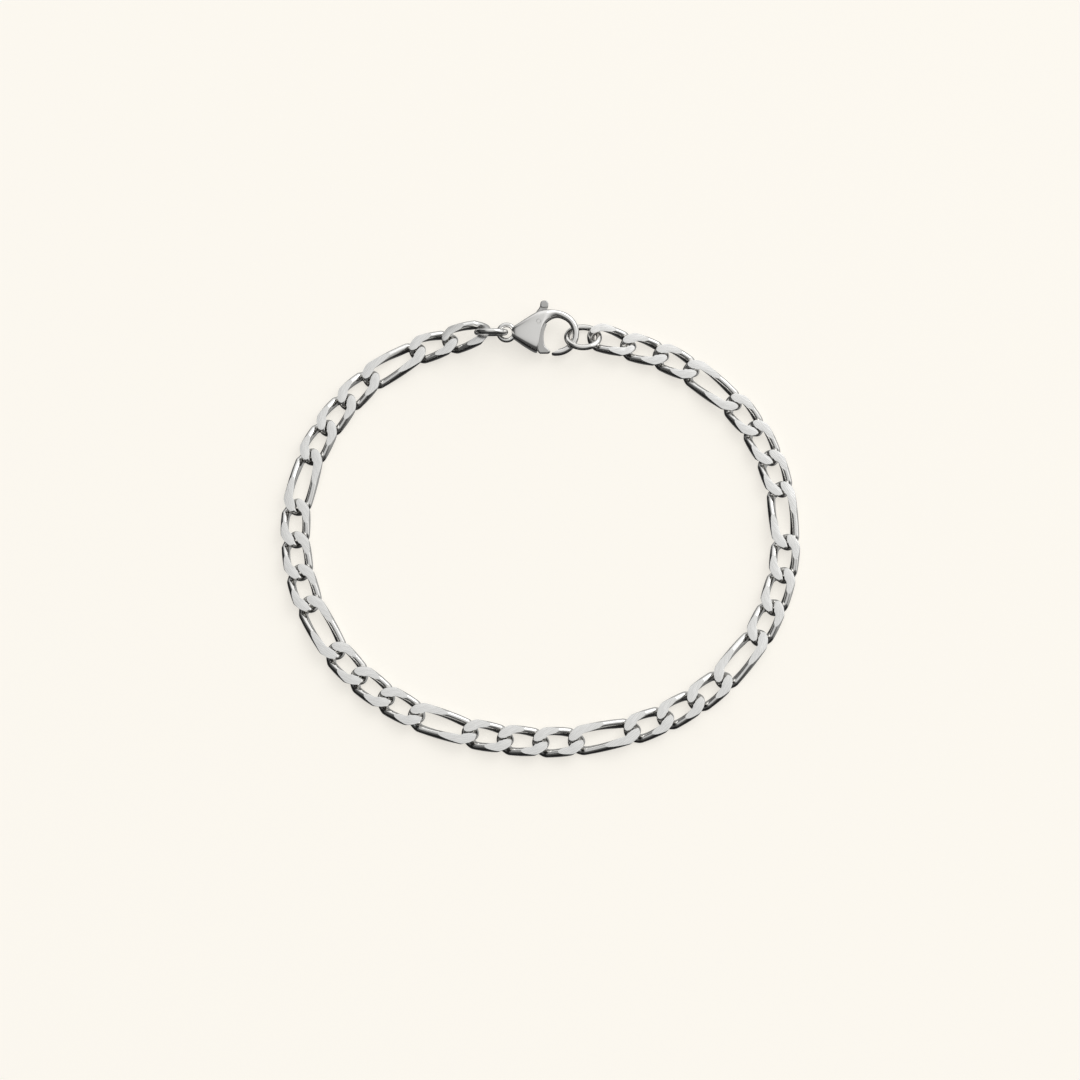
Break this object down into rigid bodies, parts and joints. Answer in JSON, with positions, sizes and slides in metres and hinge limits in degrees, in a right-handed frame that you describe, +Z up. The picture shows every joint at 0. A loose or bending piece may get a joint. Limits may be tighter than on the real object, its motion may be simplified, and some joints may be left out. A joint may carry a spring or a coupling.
{
  "type": "link bracelet",
  "caption": "Flat ground curb-chain bracelet of twisted oval links, short ones between long ones, closed by a lobster clasp on a ring, lying in a round loop.",
  "frame": {"origin": "on the table under the middle of the whole lying bracelet", "axes": "+X to the right along the table, +Y across it from the viewer to the clasp's side of the loop, +Z up"},
  "size_m": [0.0648, 0.0594, 0.0042],
  "materials": {
    "link_metal": "polished wire with finely brushed ground faces",
    "ring_metal": "polished",
    "clasp_metal": "polished",
    "lever_metal": "polished"
  },
  "bodies": {
    "bracelet": {"short_link_01": "link_metal", "short_link_02": "link_metal", "short_link_03": "link_metal", "long_link_04": "link_metal", "short_link_05": "link_metal", "short_link_06": "link_metal", "short_link_07": "link_metal", "long_link_08": "link_metal", "short_link_09": "link_metal", "short_link_10": "link_metal", "short_link_11": "link_metal", "long_link_12": "link_metal", "short_link_13": "link_metal", "short_link_14": "link_metal", "short_link_15": "link_metal", "long_link_16": "link_metal", "short_link_17": "link_metal", "short_link_18": "link_metal", "short_link_19": "link_metal", "long_link_20": "link_metal", "short_link_21": "link_metal", "short_link_22": "link_metal", "short_link_23": "link_metal", "long_link_24": "link_metal", "short_link_25": "link_metal", "short_link_26": "link_metal", "short_link_27": "link_metal", "long_link_28": "link_metal", "short_link_29": "link_metal", "short_link_30": "link_metal", "short_link_31": "link_metal", "long_link_32": "link_metal", "short_link_33": "link_metal", "short_link_34": "link_metal", "end_ring": "ring_metal", "jump_ring": "ring_metal", "clasp_body": "clasp_metal", "clasp_rivet": "lever_metal"},
    "lever": {"clasp_lever": "lever_metal"}
  },
  "joints": [
    {"name": "lever_hinge", "type": "hinge", "parent": "bracelet", "child": "lever", "pos_m": [-0.00021, 0.0268, 0.00173], "axis": [0.0343, -0.1908, 0.981], "range_deg": [0, 20], "stiffness_Nm_per_rad": 0.0001, "springref_deg": -11.46}
  ]
}
